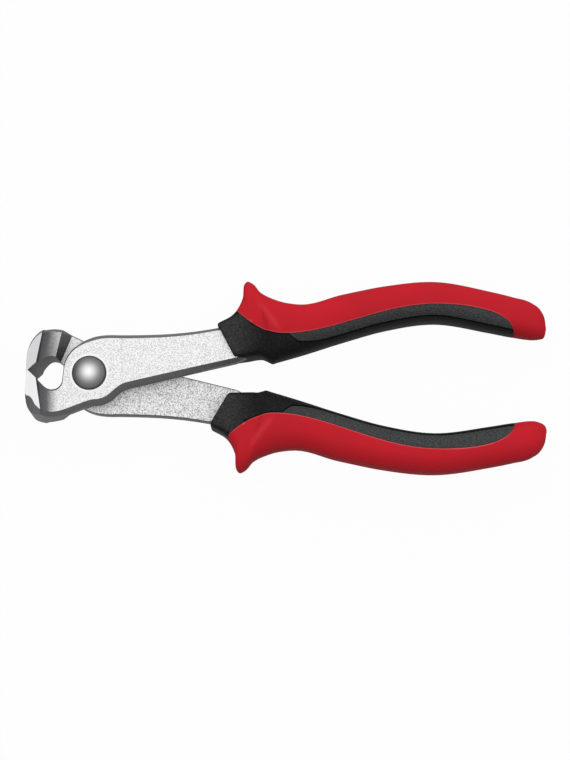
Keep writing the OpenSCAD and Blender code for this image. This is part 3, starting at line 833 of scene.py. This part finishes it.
# Width of a strip's groove, and the points across the strip, each with its angle and its way to the nearer
# edge. They lie close at the edges and even between them. Held ones keep their place on the section
def stripPoints(row, low, high, across, held):
    angles, lengths = arcLengths(row, low, high)
    wide = lengths[-1]
    groove = gripSet["groove"]
    groove *= min(1, wide / (4 * groove * gripSet["grooveSteps"][-1]))
    rim = [groove * k for k in gripSet["grooveSteps"]]
    plain = [rim[-1] + (wide - 2 * rim[-1]) * k / across for k in range(1, across)]
    if held:
        whole = arcLengths(row, 0, math.tau)[1][-1]
        fixed = [wide / 2 + whole * (k / across - 0.5) for k in range(1, across)]
        plain = [d + (min(max(f, rim[-1]), wide - rim[-1]) - d) * held for d, f in zip(plain, fixed)]
    steps = rim + plain + [wide - d for d in reversed(rim)]
    return groove, [(angleAt(angles, lengths, d), min(d, wide - d)) for d in steps]


# One moulding as a strip: row places along the grip, and two edge angles for each row. The one that settles
# runs round the tail and ends in a point there
def gripStrip(rows, lead, places, edgesAt, across, wall, sunk=0, lip=0, settle=None):
    g = gripSet
    table = []
    travelled = 0
    middle = rowMiddle(smoothRow(rows, places[0]))
    for s in places:
        row = smoothRow(rows, s)
        travelled += (rowMiddle(row) - middle).length
        middle = rowMiddle(row)
        low, high = edgesAt(row, s)
        opened = ramp(0, g["fade"], high - low) * ramp(0, g["fade"], math.tau - (high - low))
        groove, points = stripPoints(row, low, high, across, ramp(*settle, s) if settle else 0)
        line = []
        for angle, inside in points:
            depth = rounded(inside, groove) * opened + rounded(travelled, lip) + sunk + g["inset"]
            edge = min(inside, travelled) if lip else inside
            # the last value is the painted line along an edge: highlight on the red, shade on the black
            line.append((row, angle, depth, (1 - ramp(*g["rim"], edge)) * opened))
        table.append(line)
    if settle:
        table.append([(row, None, 0, 0)] * len(line))
    lastRow, lastStep = len(table) - 1, len(line) - 1
    bm = bmesh.new()
    bmesh.ops.create_grid(bm, x_segments=lastRow, y_segments=lastStep, size=1)
    rowId, stepId = (bm.verts.layers.int.new(name) for name in ("rowId", "stepId"))
    paintedLineLayer, creaseHighlightLayer, collarLayer = (
        bm.verts.layers.float.new(name) for name in ("rim", "creaseHighlight", "collar"))

    def placed(vert, wall):
        row, angle, depth, _ = table[vert[rowId]][vert[stepId]]
        if angle is None:
            tip = rowMiddle(row)
            return Vector((tip.x - wall / 2, tip.y, 0))
        room = g["wallMost"] * min(row[4], rowWidth(row) / 2)
        return ringPoint(row, angle, min(wall, room) if wall else depth)

    for vert in bm.verts:
        vert[rowId] = round((vert.co.x + 1) / 2 * lastRow)
        vert[stepId] = round((vert.co.y + 1) / 2 * lastStep)
    for vert in bm.verts:
        point = placed(vert, 0)
        vert.co = point * mm
        vert[paintedLineLayer] = table[vert[rowId]][vert[stepId]][3]
        vert[creaseHighlightLayer] = creaseHighlightShare(point.x - lead, point.y)
        vert[collarLayer] = 1 - ramp(*g["collarFace"], point.x - lead)
    bmesh.ops.remove_doubles(bm, verts=bm.verts[:], dist=mergeWithin)
    made = bmesh.ops.extrude_face_region(bm, geom=bm.verts[:] + bm.edges[:] + bm.faces[:], use_keep_orig=True)
    for vert in [item for item in made["geom"] if isinstance(item, bmesh.types.BMVert)]:
        vert.co = placed(vert, wall) * mm
    bmesh.ops.remove_doubles(bm, verts=bm.verts[:], dist=mergeWithin)
    bmesh.ops.recalc_face_normals(bm, faces=bm.faces[:])
    for face in bm.faces:
        face.smooth = True
    return bm


def rowsOver(start, stop, steps):
    return [start + i / steps for i in range(round((stop - start) * steps))]


def makeGrip(which, lead, turned, body):
    g = gripSet
    rows = gripRows(lead)
    points = splitPoints(lead)
    last = len(rows) - 1

    def shareAt(s):
        return splitShare(smoothRow(rows, s), points)

    # where the split starts and ends, and where the pads end
    shares = [(k / g["scan"], shareAt(k / g["scan"])) for k in range(g["scan"] * last + 1)]
    splitFrom = next(s for s, share in shares if share < 1)
    splitTo = max(s for s, share in shares if share > 0)
    beyond = splitTo + 1 / g["scan"]
    for _ in range(g["halvings"]):
        middle = (splitTo + beyond) / 2
        if shareAt(middle) > 0:
            splitTo = middle
        else:
            beyond = middle
    padFrom = g["padFrom"][0]
    padTo = max(s for s, share in shares if share - padShare(smoothRow(rows, s), share, s) > g["padLeast"])

    def splitAngle(row):
        return shareAngle(row, splitShare(row, points))

    def padAngle(row, s):
        return shareAngle(row, padShare(row, splitShare(row, points), s))

    def red(row, s):
        return -splitAngle(row), splitAngle(row)

    def black(row, s):
        return padAngle(row, s), math.tau - padAngle(row, s)

    def padFront(row, s):
        return splitAngle(row), padAngle(row, s)

    def padBack(row, s):
        return math.tau - padAngle(row, s), math.tau - splitAngle(row)

    endFrom, endTo, endSteps = g["endRows"]
    every = rowsOver(0, last, g["rowSteps"]) + rowsOver(*g["guardRows"])
    every += rowsOver(splitTo + endFrom, splitTo + endTo, endSteps)

    def within(a, b, extra=()):
        inside = [s for s in sorted(every + list(extra)) if a + g["rowApart"] < s < b - g["rowApart"]]
        return [a] + inside + [b]

    across, wall = g["across"], g["wall"]
    settle = [splitTo + s for s in g["settle"]]
    padRows = within(padFrom, padTo)
    strips = [
        ("core", gripStrip(rows, lead, within(splitFrom, last), red, across["core"], wall, settle=settle),
         redPlastic, "red_plastic"),
        ("skin", gripStrip(rows, lead, within(0, splitTo, g["mouthRows"]), black, across["skin"],
                           g["collarWall"], lip=g["lip"]), blackRubber, "black_rubber"),
        ("pad_front", gripStrip(rows, lead, padRows, padFront, across["pad"], wall, sunk=g["padSunk"]),
         padRubber, "pad_rubber"),
        ("pad_back", gripStrip(rows, lead, padRows, padBack, across["pad"], wall, sunk=g["padSunk"]),
         padRubber, "pad_rubber"),
    ]
    place = Matrix.Translation(pivot) @ (Matrix.Rotation(math.pi, 4, "X") if turned else Matrix())
    names = {"pad_front": "pad_back", "pad_back": "pad_front"} if turned else {}
    for part, bm, material, slot in strips:
        bmesh.ops.transform(bm, matrix=place, verts=bm.verts[:])
        node = f"{which}_grip_{names.get(part, part)}"
        finishPiece(bm, node.replace("_", "-") + "-moulding", material, body, node)


makeGrip("upper", gripSet["lead"], False, "front_half")
makeGrip("lower", -gripSet["lead"], True, "back_half")
print("grips are made")
